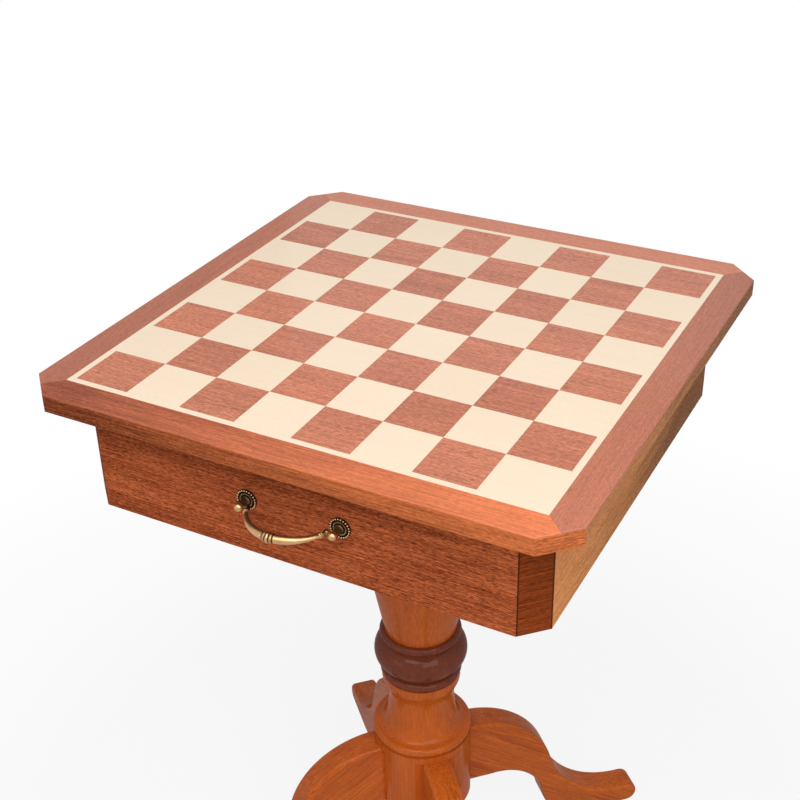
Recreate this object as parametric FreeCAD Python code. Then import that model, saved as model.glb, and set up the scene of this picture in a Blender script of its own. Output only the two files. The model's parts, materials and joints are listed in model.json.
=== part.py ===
import FreeCAD, Part
import math
import os

# Chess table: an inlaid board on a box apron with one drawer, carried by a turned column
# on four curved legs. Millimetres. The origin is on the floor under the column, +Z is up,
# and the drawer opens towards -Y.

V = FreeCAD.Vector

# Overall height
table_height = 740.0

# Inlaid top
squares_across = 8
square_size = 58.0
stringing_width = 6.4
border_width = 31.6
veneer_thickness = 1.5
veneer_joint = 0.05
top_thickness = 17.5
top_corner_cut = 30.0
lipping_thickness = 6.0
arris_radius = 1.0

# Box apron
top_overhang = 34.0
apron_height = 116.0
apron_corner_cut = 22.5
panel_thickness = 16.0
bottom_thickness = 12.0
bottom_recess = 4.0
bottom_front_gap = 1.0
batten_height = 18.0
batten_gap = 2.0
batten_end_gap = 6.0
batten_screw_inset = 60.0

# Drawer
drawer_travel = 300.0
front_side_gap = 0.4
front_top_gap = 1.0
drawer_mouth_gap = 6.0
drawer_rear_gap = 12.0
drawer_floor_gap = 5.0
drawer_head_gap = 12.0
wall_thickness = 12.0
drawer_bottom_thickness = 5.0
drawer_bottom_rise = 8.0
bottom_groove_depth = 6.0
groove_fit = 0.2
front_screw_spacing = 260.0
front_screw_rise = 36.0

# Drawer runners and stops
runner_height = 14.0
runner_groove_depth = 7.0
runner_gap = 0.3
runner_tip_gap = 0.5
runner_end_gap = 4.0
runner_screw_inset = 40.0
stop_length = 44.0
stop_depth = 14.0
stop_drop = 20.0
stop_spacing = 200.0
stop_gap = 0.3

# Bail pull
pull_centres = 96.0
rosette_radius = 10.3
rosette_rim_height = 3.0
rosette_dish_height = 1.4
rosette_boss_height = 2.0
post_radius = 3.3
post_foot_radius = 4.4
post_foot_height = 1.2
ball_radius = 4.3
ball_standoff = 13.5
pivot_standoff = 11.0
pin_radius = 1.5
pin_running_gap = 0.05
bail_reach = 28.5
bail_end_radius = 1.8
bail_middle_radius = 3.9
bail_collar_radius = 2.8
bail_side_gap = 0.4
bail_ring_radius = 5.3
bail_ring_width = 3.2
bail_side_ring_radius = 4.9
bail_neck_ring_radius = 2.9
bail_neck_ring_width = 1.6
bail_neck_ring_place = 6.0
bail_sections = 17
bail_swell_power = 1.4
pull_screw_radius = 2.0
pull_screw_head_radius = 4.0
pull_screw_head_height = 2.6
pull_screw_bite = 6.0
pull_screw_spare = 0.5

# Column
plate_width = 190.0
plate_thickness = 20.0
plate_edge_chamfer = 6.0
plate_screw_spacing = 150.0
vase_foot_radius = 41.0
vase_belly_radius = 57.0
vase_neck_radius = 40.0
vase_cap_radius = 56.0
vase_cap_height = 24.0
vase_cap_lip = 6.0
vase_cap_step = 4.8
vase_foot_flare = 6.5
vase_belly_place = 0.56
vase_neck_place = 0.8
collar_height = 63.5
collar_bead_radius = 53.0
collar_ring_radius = 46.5
collar_ring_height = 11.0
collar_quirk = 1.1
hub_bottom = 112.0
hub_radius = 58.0
hub_flat = 52.0
hub_shoulder = 8.0
hub_bead_height = 12.0
base_height = 185.0
base_waist_radius = 38.0
base_cap_radius = 45.0
base_cap_height = 7.0
base_waist_place = 0.6
spigot_radius = 18.0
spigot_length = 10.0
spigot_fit = 0.15
spigot_end_gap = 0.5

# Legs
leg_spread = 250.0
leg_thickness = 34.0
leg_root_height = 88.0
leg_flat_spare = 2.0
leg_edge_radius = 5.0
foot_length = 70.0
foot_height = 26.0
tenon_length = 24.0
tenon_thickness = 14.0
tenon_shoulder = 14.0
tenon_fit = 0.15
glide_radius = 13.0
glide_height = 4.0
glide_pin_radius = 1.6
glide_pin_length = 12.0

# Tie rod and leg plate
rod_radius = 5.0
rod_gap = 0.3
rod_end = 2.0
nut_width = 16.0
nut_height = 8.0
nut_pocket_gap = 1.0
washer_radius = 11.0
washer_thickness = 2.0
leg_plate_thickness = 3.0
leg_plate_radius = 40.0
leg_plate_arm_width = 24.0
leg_plate_arm_end = 12.0
leg_screw_inset = 24.0

# Wood screws, with their cross recess as shares of the head's radius and height
screw_radius = 2.0
screw_head_radius = 4.0
recess_reach = 0.55
recess_width = 0.16
recess_depth = 0.7
screw_bite = 9.0
leg_screw_bite = 24.0
screw_fit = 0.05
screw_hole_spare = 1.0

# A rounded edge takes at most this share of the wall that it is on
fillet_limit = 0.8

# Two places nearer than this are the same place
near = 1e-3

# Heights and half widths that follow from the sizes above
board_half = squares_across * square_size / 2
stringing_half = board_half + stringing_width
top_half = stringing_half + border_width
veneer_under = table_height - veneer_thickness
top_under = table_height - top_thickness
apron_half = top_half - top_overhang
apron_bottom = top_under - apron_height
inner_half = apron_half - panel_thickness
bottom_under = apron_bottom + bottom_recess
bottom_over = bottom_under + bottom_thickness
wall_low = bottom_over + drawer_floor_gap
wall_high = top_under - drawer_head_gap
runner_mid = (wall_low + wall_high) / 2
plate_under = bottom_under - plate_thickness
base_over = hub_bottom + base_height
collar_over = base_over + collar_height
root_over = hub_bottom + leg_root_height
leg_plate_under = hub_bottom - leg_plate_thickness
leg_screw_reach = hub_flat + leg_screw_inset
arm_reach = leg_screw_reach + leg_plate_arm_end

SIDES = ("front", "front_right", "right", "back_right", "back", "back_left", "left", "front_left")
CORNERS = SIDES[1::2]
LEG_ANGLES = {side: 90 * i - 45 for i, side in enumerate(CORNERS)}
UP = V(0, 0, 1)
FORWARD = V(0, -1, 0)


class Outline:
    """A closed outline in the XZ plane: x is the radius or reach, z the height."""

    def __init__(self, x, z):
        self.start = V(x, 0, z)
        self.here = self.start
        self.edges = []

    def line(self, x, z):
        there = V(x, 0, z)
        self.edges.append(Part.LineSegment(self.here, there).toShape())
        self.here = there

    def arc(self, via, to):
        there = V(to[0], 0, to[1])
        self.edges.append(Part.Arc(self.here, V(via[0], 0, via[1]), there).toShape())
        self.here = there

    def curve(self, first, second, to):
        there = V(to[0], 0, to[1])
        bezier = Part.BezierCurve()
        bezier.setPoles([self.here, V(first[0], 0, first[1]), V(second[0], 0, second[1]), there])
        self.edges.append(bezier.toShape())
        self.here = there

    def bead(self, x, z_end):
        """A rounded moulding that swells out to x, between this height and z_end, and comes back in."""
        self.arc((x, (self.here.z + z_end) / 2), (self.here.x, z_end))

    def ess(self, x, z):
        """Two equal tangent arcs that leave and arrive level."""
        run = x - self.here.x
        rise = z - self.here.z
        half_turn = math.atan2(abs(rise), abs(run))
        radius = abs(run) / 2 / math.sin(2 * half_turn)
        bend_x = math.copysign(radius * math.sin(half_turn), run)
        bend_z = math.copysign(radius * (1 - math.cos(half_turn)), rise)
        start_x, start_z = self.here.x, self.here.z
        self.arc((start_x + bend_x, start_z + bend_z), (start_x + run / 2, start_z + rise / 2))
        self.arc((x - bend_x, z - bend_z), (x, z))

    def face(self):
        if self.here.distanceToPoint(self.start) > near:
            self.line(self.start.x, self.start.z)
        return Part.Face(Part.Wire(self.edges))

    def turned(self):
        return self.face().revolve(V(0, 0, 0), UP, 360)


def prism(points, low, high):
    """A board with a polygon plan, between two heights."""
    corners = [V(x, y, low) for x, y in points]
    return Part.Face(Part.makePolygon(corners + corners[:1])).extrude(V(0, 0, high - low))


def block(x, y, z):
    """A board given by its low and high limits along each axis."""
    return Part.makeBox(x[1] - x[0], y[1] - y[0], z[1] - z[0], V(x[0], y[0], z[0]))


def rod(place, direction, radius, length):
    return Part.makeCylinder(radius, length, place, direction)


def turn(shape, degrees):
    turned_shape = shape.copy()
    turned_shape.rotate(V(0, 0, 0), UP, degrees)
    return turned_shape


def aim(shape, place, direction):
    """Moves a shape drawn along +Z from the origin so that it starts at place and runs along direction."""
    moved = shape.copy()
    moved.Placement = FreeCAD.Placement(place, FreeCAD.Rotation(UP, direction))
    return moved


def octagon(half, corner, inset=0.0):
    """Corners of a square with its corners cut off, moved in by an inset, from the front's left end."""
    side = half - inset
    reach = side - corner + inset * (2 - math.sqrt(2))
    front = [(-reach, -side), (reach, -side)]
    right = [(side, -reach), (side, reach)]
    back = [(reach, side), (-reach, side)]
    left = [(-side, reach), (-side, -reach)]
    return front + right + back + left


def mitred_ring(half, corner, thickness):
    """Plans of the eight boards round an octagon, mitred where they meet."""
    outer = octagon(half, corner)
    inner = octagon(half, corner, thickness)
    plans = {}
    for i, side in enumerate(SIDES):
        j = (i + 1) % len(SIDES)
        plans[side] = [outer[i], outer[j], inner[j], inner[i]]
    return plans


def screw_form(length, grow=0.0):
    """A countersunk screw along +Z with its head at the origin. A hole is the same form grown a little."""
    head_height = screw_head_radius - screw_radius
    outline = Outline(0, 0)
    outline.line(screw_head_radius + grow, 0)
    outline.line(screw_radius + grow, head_height)
    outline.line(screw_radius + grow, length)
    outline.line(0, length)
    return outline.turned()


def recess_bar(reach, head_radius, head_height):
    """One slot of a driver's recess, along X, cut into a head whose face is at the origin."""
    half_width = recess_width * head_radius
    depth = recess_depth * head_height
    return block((-reach, reach), (-half_width, half_width), (-depth, depth))


def screws(places, direction, length):
    """Screws at several places, and the holes that they need."""
    bar = recess_bar(recess_reach * screw_head_radius, screw_head_radius, screw_head_radius - screw_radius)
    screw = cut(screw_form(length), [bar, turn(bar, 90)])
    solids = [aim(screw, place, direction) for place in places]
    holes = [aim(screw_form(length + screw_hole_spare, screw_fit), place, direction) for place in places]
    return solids, holes


def cut(shape, tools):
    return shape.cut(Part.Compound(tools)) if tools else shape


def make_veneers():
    """The marquetry face: squares, a light stringing line and a mitred border with a rounded arris."""
    parts = {"dark_squares": [], "light_squares": [], "stringing": []}
    for column in range(squares_across):
        for row in range(squares_across):
            name = "light_squares" if (column + row) % 2 else "dark_squares"
            x = -board_half + column * square_size + veneer_joint / 2
            y = -board_half + row * square_size + veneer_joint / 2
            size = square_size - veneer_joint
            leaf = block((x, x + size), (y, y + size), (veneer_under, table_height))
            parts[name].append(leaf)
    mitre = top_half - top_corner_cut / 2
    reach = top_half - top_corner_cut
    string_plan = [(-board_half, -board_half), (-stringing_half, -stringing_half)]
    string_plan += [(stringing_half, -stringing_half), (board_half, -board_half)]
    border_plan = [(-stringing_half, -stringing_half), (-mitre, -mitre), (-reach, -top_half)]
    border_plan += [(reach, -top_half), (mitre, -mitre), (stringing_half, -stringing_half)]
    border = rounded_border(prism(border_plan, veneer_under, table_height))
    string = prism(string_plan, veneer_under, table_height)
    for i, side in enumerate(("front", "right", "back", "left")):
        parts["stringing"].append(turn(string, 90 * i))
        parts["border_" + side] = turn(border, 90 * i)
    return parts


def rounded_border(board):
    """Rounds the upper edge of the border along the front and the two half corners."""
    radius = min(arris_radius, fillet_limit * veneer_thickness)
    edges = []
    for edge in board.Edges:
        low, high = edge.BoundBox.ZMin, edge.BoundBox.ZMax
        middle = edge.CenterOfMass
        outer = top_half - top_corner_cut / 2
        on_top = low > table_height - near and high < table_height + near
        if on_top and (middle.y < -top_half + near or abs(middle.x) + abs(middle.y) > 2 * outer - near):
            edges.append(edge)
    return board.makeFillet(radius, edges)


def make_top(fixing_holes):
    """The core board under the veneer and the eight lippings round its edge."""
    core = prism(octagon(top_half, top_corner_cut, lipping_thickness), top_under, veneer_under)
    parts = {"top_core": cut(core, fixing_holes), "edge_corners": []}
    for side, plan in mitred_ring(top_half, top_corner_cut, lipping_thickness).items():
        lipping = prism(plan, top_under, veneer_under)
        if "_" in side:
            parts["edge_corners"].append(lipping)
        else:
            parts["edge_" + side] = lipping
    return parts


def apron_inner_reach():
    """Half the clear width between the corner panels' inner edges, where mitres would put them."""
    return octagon(apron_half, apron_corner_cut, panel_thickness)[1][0]


drawer_half = apron_inner_reach() - drawer_mouth_gap
batten_width = inner_half - drawer_half - batten_gap
batten_inner = inner_half - batten_width
drawer_rear = batten_inner - drawer_rear_gap
box_half = drawer_half - wall_thickness
box_front_y = -inner_half + wall_thickness
box_back_y = drawer_rear - wall_thickness
mouth_half = apron_half - apron_corner_cut


def make_apron(runner_holes, plate_holes):
    """The panels, with square ends beside the drawer, and the bottom board let in between them."""
    plans = mitred_ring(apron_half, apron_corner_cut, panel_thickness)
    mouth = block((-mouth_half, mouth_half), (-apron_half, 0), (apron_bottom, top_under))
    parts = {}
    for side in SIDES[1:]:
        panel = prism(plans[side], apron_bottom, top_under)
        if side in ("left", "right"):
            parts["apron_" + side] = cut(panel, runner_holes)
        elif side == "back":
            parts["apron_" + side] = panel
        else:
            parts["corner_panel_" + side] = panel.cut(mouth)
    inside = octagon(apron_half, apron_corner_cut, panel_thickness)
    front_edge = -inner_half + bottom_front_gap
    corner_edge = mouth_half - inner_half - apron_inner_reach()
    front = [(-mouth_half, corner_edge), (-mouth_half, front_edge)]
    front += [(mouth_half, front_edge), (mouth_half, corner_edge)]
    board = prism(front + inside[2:], bottom_under, bottom_over)
    parts["bottom_board"] = cut(board, plate_holes)
    return parts


def make_battens():
    """Battens glued inside the apron and screwed up into the top."""
    side_front = -(apron_inner_reach() - batten_end_gap)
    side_back = batten_inner - batten_gap
    back_reach = apron_inner_reach() - batten_end_gap
    height = (top_under - batten_height, top_under)
    boards = {
        "top_batten_right": block((batten_inner, inner_half), (side_front, side_back), height),
        "top_batten_left": block((-inner_half, -batten_inner), (side_front, side_back), height),
        "top_batten_back": block((-back_reach, back_reach), (batten_inner, inner_half), height),
    }
    middle = (batten_inner + inner_half) / 2
    side_middle = (side_front + side_back) / 2
    side_places = (side_front + batten_screw_inset, side_middle, side_back - batten_screw_inset)
    back_places = (batten_screw_inset - back_reach, 0, back_reach - batten_screw_inset)
    places = [V(x, y, height[0]) for x in (-middle, middle) for y in side_places]
    places += [V(x, middle, height[0]) for x in back_places]
    solids, holes = screws(places, UP, batten_height + screw_bite)
    parts = {name: cut(board, holes) for name, board in boards.items()}
    parts["top_screws"] = solids
    return parts, holes


def make_runners():
    """Wooden runners on the side panels, on which the grooved drawer sides ride."""
    tip = drawer_half - runner_groove_depth + runner_tip_gap
    reach = apron_inner_reach() - runner_end_gap
    height = (runner_mid - runner_height / 2, runner_mid + runner_height / 2)
    screw_places = (runner_screw_inset - reach, 0, reach - runner_screw_inset)
    parts = {"runner_screws": []}
    all_holes = []
    for side, sign in (("right", 1), ("left", -1)):
        x = sorted((sign * tip, sign * inner_half))
        places = [V(sign * tip, y, runner_mid) for y in screw_places]
        solids, holes = screws(places, V(sign, 0, 0), inner_half - tip + screw_bite)
        parts["runner_" + side] = cut(block(x, (-reach, reach), height), holes)
        parts["runner_screws"] += solids
        all_holes += holes
    return parts, all_holes


def make_stops():
    """Two stop blocks under the top that catch the drawer back at the end of its travel."""
    rear = box_back_y - drawer_travel - stop_gap
    low = top_under - stop_drop
    places = [V(sign * stop_spacing / 2, rear - stop_depth / 2, low) for sign in (-1, 1)]
    solids, holes = screws(places, UP, stop_drop + screw_bite)
    blocks = []
    for place in places:
        x = (place.x - stop_length / 2, place.x + stop_length / 2)
        blocks.append(cut(block(x, (rear - stop_depth, rear), (low, top_under)), holes))
    return {"drawer_stops": blocks, "stop_screws": solids}, holes


def make_drawer(pull_holes):
    """The overlay front between the corner panels, and the grooved box behind it."""
    front_half = mouth_half - front_side_gap
    front_height = (apron_bottom, top_under - front_top_gap)
    front = block((-front_half, front_half), (-apron_half, -inner_half), front_height)
    height = (wall_low, wall_high)
    floor = wall_low + drawer_bottom_rise
    groove = (floor, floor + drawer_bottom_thickness + groove_fit)
    reach = bottom_groove_depth + box_half
    front_groove = box_front_y - bottom_groove_depth
    back_groove = box_back_y + bottom_groove_depth
    bottom_slot = block((-reach, reach), (front_groove, back_groove), groove)
    box_front = block((-box_half, box_half), (-inner_half, box_front_y), height)
    box_back = block((-box_half, box_half), (box_back_y, drawer_rear), height)

    across = front_screw_spacing / 2
    rise = front_screw_rise / 2
    corners = [(-across, -rise), (-across, rise), (across, -rise), (across, rise)]
    places = [V(x, box_front_y, runner_mid + z) for x, z in corners]
    solids, holes = screws(places, FORWARD, wall_thickness + screw_bite)

    parts = {"drawer_front": cut(front, holes + pull_holes)}
    parts["drawer_box_front"] = cut(box_front, holes + pull_holes + [bottom_slot])
    parts["drawer_back"] = cut(box_back, [bottom_slot])
    parts["drawer_front_screws"] = solids
    runner_front = -(apron_inner_reach() - runner_end_gap) - runner_tip_gap
    runner_half = runner_height / 2 + runner_gap
    side_slot_length = (-inner_half, drawer_rear)
    for side, sign in (("right", 1), ("left", -1)):
        wall = block(sorted((sign * box_half, sign * drawer_half)), (-inner_half, drawer_rear), height)
        groove_x = sorted((sign * (drawer_half - runner_groove_depth), sign * drawer_half))
        runner_z = (runner_mid - runner_half, runner_mid + runner_half)
        runner_slot = block(groove_x, (runner_front, drawer_rear), runner_z)
        side_slot = block(sorted((sign * box_half, sign * reach)), side_slot_length, groove)
        parts["drawer_side_" + side] = cut(wall, [runner_slot, side_slot])
    x = (groove_fit - reach, reach - groove_fit)
    y = (front_groove + groove_fit, back_groove - groove_fit)
    parts["drawer_bottom"] = block(x, y, (floor, floor + drawer_bottom_thickness))
    return parts


pull_height = (apron_bottom + top_under) / 2
pull_face = -apron_half
pivot_y = pull_face - pivot_standoff


def rosette_form():
    """A dished rosette with a raised rim, along +Z from its back."""
    rim = rosette_rim_height - rosette_dish_height
    hole = pull_screw_radius + screw_fit
    outline = Outline(hole, 0)
    outline.line(rosette_radius, 0)
    outline.line(rosette_radius, rosette_dish_height)
    outline.curve(
        (rosette_radius, rosette_rim_height + rim / 3),
        (rosette_radius - 2 * rim, rosette_rim_height + rim / 3),
        (rosette_radius - 2 * rim, rosette_dish_height),
    )
    outline.curve(
        (post_foot_radius + rim, rosette_dish_height - rim / 2),
        (post_foot_radius + rim, rosette_boss_height),
        (post_foot_radius, rosette_boss_height),
    )
    outline.line(hole, rosette_boss_height)
    return outline.turned()


def post_form():
    """A ball-ended post along +Z from the drawer front, with a tapped hole in its foot."""
    foot_over = rosette_boss_height + post_foot_height
    hole = pull_screw_radius
    hole_over = rosette_boss_height + pull_screw_bite
    ball_meets = ball_standoff - math.sqrt(ball_radius ** 2 - post_radius ** 2)
    outline = Outline(0, hole_over)
    outline.line(hole, hole_over)
    outline.line(hole, rosette_boss_height)
    outline.line(post_foot_radius, rosette_boss_height)
    outline.curve(
        (post_foot_radius, foot_over),
        (post_radius, foot_over),
        (post_radius, foot_over + post_foot_height),
    )
    outline.line(post_radius, ball_meets)
    outline.arc((ball_radius, ball_standoff), (0, ball_standoff + ball_radius))
    return outline.turned()


def pull_hole_form():
    """The hole for a pull screw through the drawer's two fronts, along +Z."""
    return rod(V(0, 0, 0), UP, pull_screw_radius + screw_fit, wall_thickness + panel_thickness)


def pull_screw_form():
    """A round-headed machine screw from inside the drawer into the post, along +Z from under its head."""
    length = wall_thickness + panel_thickness + rosette_boss_height + pull_screw_bite - pull_screw_spare
    shank = rod(V(0, 0, 0), UP, pull_screw_radius - screw_fit, length)
    dome_radius = (pull_screw_head_radius ** 2 + pull_screw_head_height ** 2) / (2 * pull_screw_head_height)
    half_turn = math.asin(pull_screw_head_radius / dome_radius) / 2
    dome_middle = dome_radius * (1 - math.cos(half_turn)) - pull_screw_head_height
    outline = Outline(0, -pull_screw_head_height)
    outline.arc((dome_radius * math.sin(half_turn), dome_middle), (pull_screw_head_radius, 0))
    outline.line(0, 0)
    slot = recess_bar(pull_screw_head_radius, pull_screw_head_radius, pull_screw_head_height)
    slot.translate(V(0, 0, -pull_screw_head_height))
    return shank.fuse(outline.turned()).cut(slot)


def make_pull():
    """Rosettes, ball posts, screws and the swept bail that swings in the posts."""
    parts = {"pull_screws": []}
    holes = []
    pivot_start = V(-ball_radius, 0, pivot_standoff)
    pivot_hole = rod(pivot_start, V(1, 0, 0), pin_radius + pin_running_gap, 2 * ball_radius)
    for side, sign in (("right", 1), ("left", -1)):
        x = sign * pull_centres / 2
        face = V(x, pull_face, pull_height)
        parts["rosette_" + side] = aim(rosette_form(), face, FORWARD)
        parts["handle_post_" + side] = aim(post_form().cut(pivot_hole), face, FORWARD)
        inside = V(x, box_front_y, pull_height)
        parts["pull_screws"].append(aim(pull_screw_form(), inside, FORWARD))
        holes.append(aim(pull_hole_form(), inside, FORWARD))
    parts["handle_bail"] = bail_form()
    return parts, holes


def bail_form():
    """The bail at rest, straight out: a tapering arc with a ringed middle, collars and pivot pins."""
    collar = pull_centres / 2 - ball_radius - bail_side_gap - bail_collar_radius
    arc_radius = (collar ** 2 + bail_reach ** 2) / (2 * bail_reach)
    arc_centre = V(0, pivot_y - bail_reach + arc_radius, pull_height)
    half_angle = math.asin(collar / arc_radius)
    if bail_reach > arc_radius:
        half_angle = math.pi - half_angle

    def station(angle):
        """The middle of the bail at an angle from its crown, and its direction there."""
        outward = V(math.sin(angle), -math.cos(angle), 0)
        return arc_centre + outward * arc_radius, V(math.cos(angle), math.sin(angle), 0)

    wires = []
    for i in range(bail_sections):
        share = 2 * i / (bail_sections - 1) - 1
        middle, along = station(share * half_angle)
        swell = math.cos(share * math.pi / 2) ** bail_swell_power
        radius = bail_end_radius + (bail_middle_radius - bail_end_radius) * swell
        wires.append(Part.Wire(Part.makeCircle(radius, middle, along)))
    bail = Part.makeLoft(wires, True)

    additions = [aim(ring_form(), *station(0))]
    pin_length = pull_centres / 2 + post_radius / 2 - collar
    for sign in (-1, 1):
        end = V(sign * collar, pivot_y, pull_height)
        additions.append(Part.makeSphere(bail_collar_radius, end))
        additions.append(rod(end, V(sign, 0, 0), pin_radius, pin_length))
        neck = sign * (half_angle - bail_neck_ring_place / arc_radius)
        additions.append(aim(neck_ring_form(), *station(neck)))
    return bail.multiFuse(additions).removeSplitter()


def neck_ring_form():
    """One small ring near an end of the bail, along +Z and centred on the origin."""
    half = bail_neck_ring_width / 2
    outline = Outline(0, -half)
    outline.line(bail_end_radius, -half)
    outline.bead(bail_neck_ring_radius, half)
    outline.line(0, half)
    return outline.turned()


def ring_form():
    """Three turned rings on the middle of the bail, along +Z and centred on the origin."""
    half = bail_ring_width / 2
    ends = half + bail_ring_width
    outline = Outline(0, -ends)
    outline.line(bail_middle_radius, -ends)
    outline.bead(bail_side_ring_radius, -half)
    outline.bead(bail_ring_radius, half)
    outline.bead(bail_side_ring_radius, ends)
    outline.line(0, ends)
    return outline.turned()


def nut_form():
    """A hexagon nut along +Z from the origin."""
    corner = nut_width / math.sqrt(3)
    angles = [math.radians(60 * i) for i in range(6)]
    plan = [(corner * math.cos(a), corner * math.sin(a)) for a in angles]
    return prism(plan, 0, nut_height).cut(rod(V(0, 0, 0), UP, rod_radius + screw_fit, nut_height))


def washer_form():
    ring = rod(V(0, 0, 0), UP, washer_radius, washer_thickness)
    return ring.cut(rod(V(0, 0, 0), UP, rod_radius + rod_gap, washer_thickness))


def make_tie():
    """The rod that draws the column together, with a nut and a washer at each end."""
    pocket_under = bottom_under - rod_end - nut_height - washer_thickness
    low_washer = leg_plate_under - washer_thickness
    low_nut = low_washer - nut_height
    low_end = low_nut - rod_end
    high_end = pocket_under + washer_thickness + nut_height
    parts = {"tie_rod": rod(V(0, 0, low_end), UP, rod_radius, high_end - low_end)}
    parts["tie_nuts"] = [aim(nut_form(), V(0, 0, z), UP) for z in (low_nut, pocket_under + washer_thickness)]
    parts["tie_washers"] = [aim(washer_form(), V(0, 0, z), UP) for z in (low_washer, pocket_under)]
    return parts, pocket_under


def socket():
    """The hole for a spigot, down from the origin."""
    depth = spigot_length + spigot_end_gap
    return rod(V(0, 0, -depth), UP, spigot_radius + spigot_fit, depth)


def make_plate(pocket_under):
    """The board that joins the column to the bottom of the apron."""
    half = plate_width / 2
    plate = block((-half, half), (-half, half), (plate_under, bottom_under))
    lower = [edge for edge in plate.Edges if edge.BoundBox.ZMax < plate_under + near]
    plate = plate.makeChamfer(plate_edge_chamfer, lower)
    spread = plate_screw_spacing / 2
    places = [V(x, y, plate_under) for x in (-spread, spread) for y in (-spread, spread)]
    solids, holes = screws(places, UP, plate_thickness + screw_bite)
    pocket_radius = max(washer_radius, nut_width / math.sqrt(3)) + nut_pocket_gap
    pocket = rod(V(0, 0, pocket_under), UP, pocket_radius, bottom_under - pocket_under)
    bore = rod(V(0, 0, plate_under), UP, rod_radius + rod_gap, plate_thickness)
    parts = {"column_plate": cut(plate, holes + [pocket, bore]), "plate_screws": solids}
    return parts, holes


def make_column():
    """The turned column: a tapering vase, a beaded collar and a base with flats and mortises for the legs."""
    bore = rod(V(0, 0, hub_bottom), UP, rod_radius + rod_gap, plate_under - hub_bottom)
    spigot = rod(V(0, 0, -spigot_length), UP, spigot_radius, spigot_length)
    vase = vase_outline().turned().fuse(aim(spigot, V(0, 0, collar_over), UP))
    collar = collar_outline().turned().fuse(aim(spigot, V(0, 0, base_over), UP))
    collar = collar.cut(aim(socket(), V(0, 0, collar_over), UP))
    base = base_outline().turned().cut(aim(socket(), V(0, 0, base_over), UP))
    flat = block((hub_flat, hub_radius + tenon_length), (-hub_radius, hub_radius), (hub_bottom, root_over))
    mortise = tenon_block(tenon_fit)
    for angle in LEG_ANGLES.values():
        base = base.cut(turn(flat, angle)).cut(turn(mortise, angle))
    return {"column_vase": vase.cut(bore), "column_collar": collar.cut(bore), "column_base": base.cut(bore)}


def vase_outline():
    """From the narrow foot up a long taper to the belly, then in to the neck and out to the cap."""
    cap_under = plate_under - vase_cap_height
    belly = collar_over + vase_belly_place * (cap_under - collar_over)
    neck = collar_over + vase_neck_place * (cap_under - collar_over)
    cap_inner = vase_cap_radius - vase_cap_lip
    taper = (belly - collar_over) / 3
    shoulder = (neck - belly) / 3
    outline = Outline(0, collar_over)
    outline.line(vase_foot_radius, collar_over)
    outline.curve(
        (vase_foot_radius + vase_foot_flare, collar_over + taper),
        (vase_belly_radius, belly - taper),
        (vase_belly_radius, belly),
    )
    outline.curve(
        (vase_belly_radius, (belly + neck) / 2),
        (vase_neck_radius, neck - shoulder),
        (vase_neck_radius, neck),
    )
    outline.curve(
        (vase_neck_radius, (neck + cap_under) / 2),
        ((vase_neck_radius + cap_inner) / 2, cap_under),
        (cap_inner, cap_under),
    )
    outline.line(cap_inner, cap_under + vase_cap_step)
    outline.bead(vase_cap_radius, plate_under - vase_cap_step)
    outline.line(cap_inner, plate_under)
    outline.line(0, plate_under)
    return outline


def collar_outline():
    """A small upper ring, a quirk, a large rounded bead and a lower ring."""
    ring_under = collar_over - collar_ring_height
    low_ring_over = base_over + collar_ring_height
    bead_over = ring_under - collar_quirk
    bead_under = low_ring_over + collar_quirk
    outline = Outline(0, base_over)
    outline.line(vase_foot_radius, base_over)
    outline.bead(collar_ring_radius, low_ring_over)
    outline.line(vase_foot_radius, bead_under)
    outline.bead(collar_bead_radius, bead_over)
    outline.line(vase_foot_radius, ring_under)
    outline.bead(collar_ring_radius, collar_over)
    outline.line(0, collar_over)
    return outline


def base_outline():
    """The leg hub, a bead over it, a long cove up to the waist and a cap under the collar."""
    hub_over = root_over + hub_shoulder
    bead_over = hub_over + hub_bead_height
    bead_in = hub_radius - hub_bead_height / 2
    cap_under = base_over - base_cap_height
    waist = bead_over + base_waist_place * (cap_under - bead_over)
    outline = Outline(0, hub_bottom)
    outline.line(hub_radius, hub_bottom)
    outline.line(hub_radius, hub_over)
    outline.line(bead_in, hub_over)
    outline.bead(hub_radius, bead_over)
    outline.curve(
        (base_waist_radius + (bead_in - base_waist_radius) / 3, bead_over),
        (base_waist_radius, (bead_over + waist) / 2),
        (base_waist_radius, waist),
    )
    outline.curve(
        (base_waist_radius, (waist + cap_under) / 2),
        (base_cap_radius, cap_under - (cap_under - waist) / 4),
        (base_cap_radius, cap_under),
    )
    outline.line(base_cap_radius, base_over)
    outline.line(0, base_over)
    return outline


def tenon_block(grow=0.0):
    """The tenon on a leg's root, along +X. A mortise is the same block grown a little."""
    x = (hub_flat - tenon_length - grow, hub_flat + grow)
    half = tenon_thickness / 2 + grow
    z = (hub_bottom + tenon_shoulder - grow, root_over - tenon_shoulder + grow)
    return block(x, (-half, half), z)


def leg_form():
    """One curved leg along +X: a tall root on the hub, an S-shaped sweep and a rounded foot."""
    foot_under = glide_height
    foot_over = glide_height + foot_height
    toe = leg_spread + foot_length / 2 - foot_height / 2
    heel = leg_spread - foot_length / 2
    flat_end = arm_reach + leg_flat_spare
    outline = Outline(hub_flat, hub_bottom)
    outline.line(hub_flat, root_over)
    outline.ess(toe, foot_over)
    outline.arc((toe + foot_height / 2, foot_under + foot_height / 2), (toe, foot_under))
    outline.line(heel, foot_under)
    outline.ess(flat_end, hub_bottom)
    side = outline.face()
    side.translate(V(0, -leg_thickness / 2, 0))
    leg = side.extrude(V(0, leg_thickness, 0))
    radius = min(leg_edge_radius, fillet_limit * leg_thickness / 2)
    upper = [edge for edge in leg.Edges if edge.BoundBox.YLength < near and is_upper_sweep(edge, toe)]
    return leg.makeFillet(radius, upper).fuse(tenon_block()).removeSplitter()


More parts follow.
